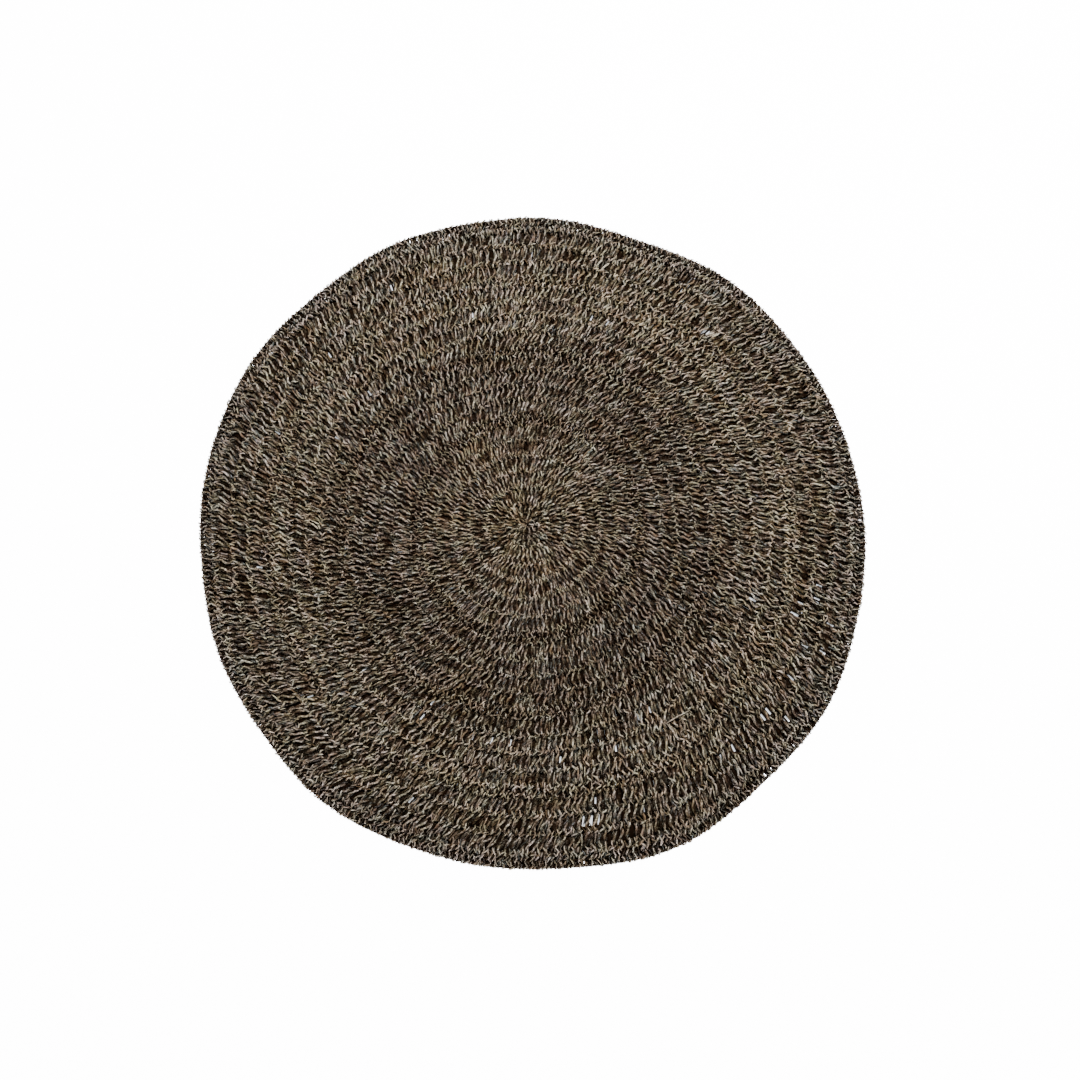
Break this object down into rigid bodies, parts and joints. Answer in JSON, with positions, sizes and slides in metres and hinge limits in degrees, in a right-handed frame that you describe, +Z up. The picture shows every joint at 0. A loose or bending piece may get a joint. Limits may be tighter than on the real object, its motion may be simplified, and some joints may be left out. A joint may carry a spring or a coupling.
{
  "type": "round seagrass rug",
  "caption": "Flat round rug crocheted in rounds from mixed natural and black seagrass cord, with a slightly uneven rim and small open gaps between stitches.",
  "frame": {"origin": "middle of the rug's box, on its underside, which lies on the floor", "axes": "+Z up through the thickness of the rug; the picture was taken from the -Y side"},
  "size_m": [1.4956, 1.4952, 0.0138],
  "materials": {
    "seagrass": "matt twisted seagrass cord, one natural taupe strand and one black strand"
  },
  "bodies": {
    "root": {"rug": "seagrass"}
  },
  "joints": []
}
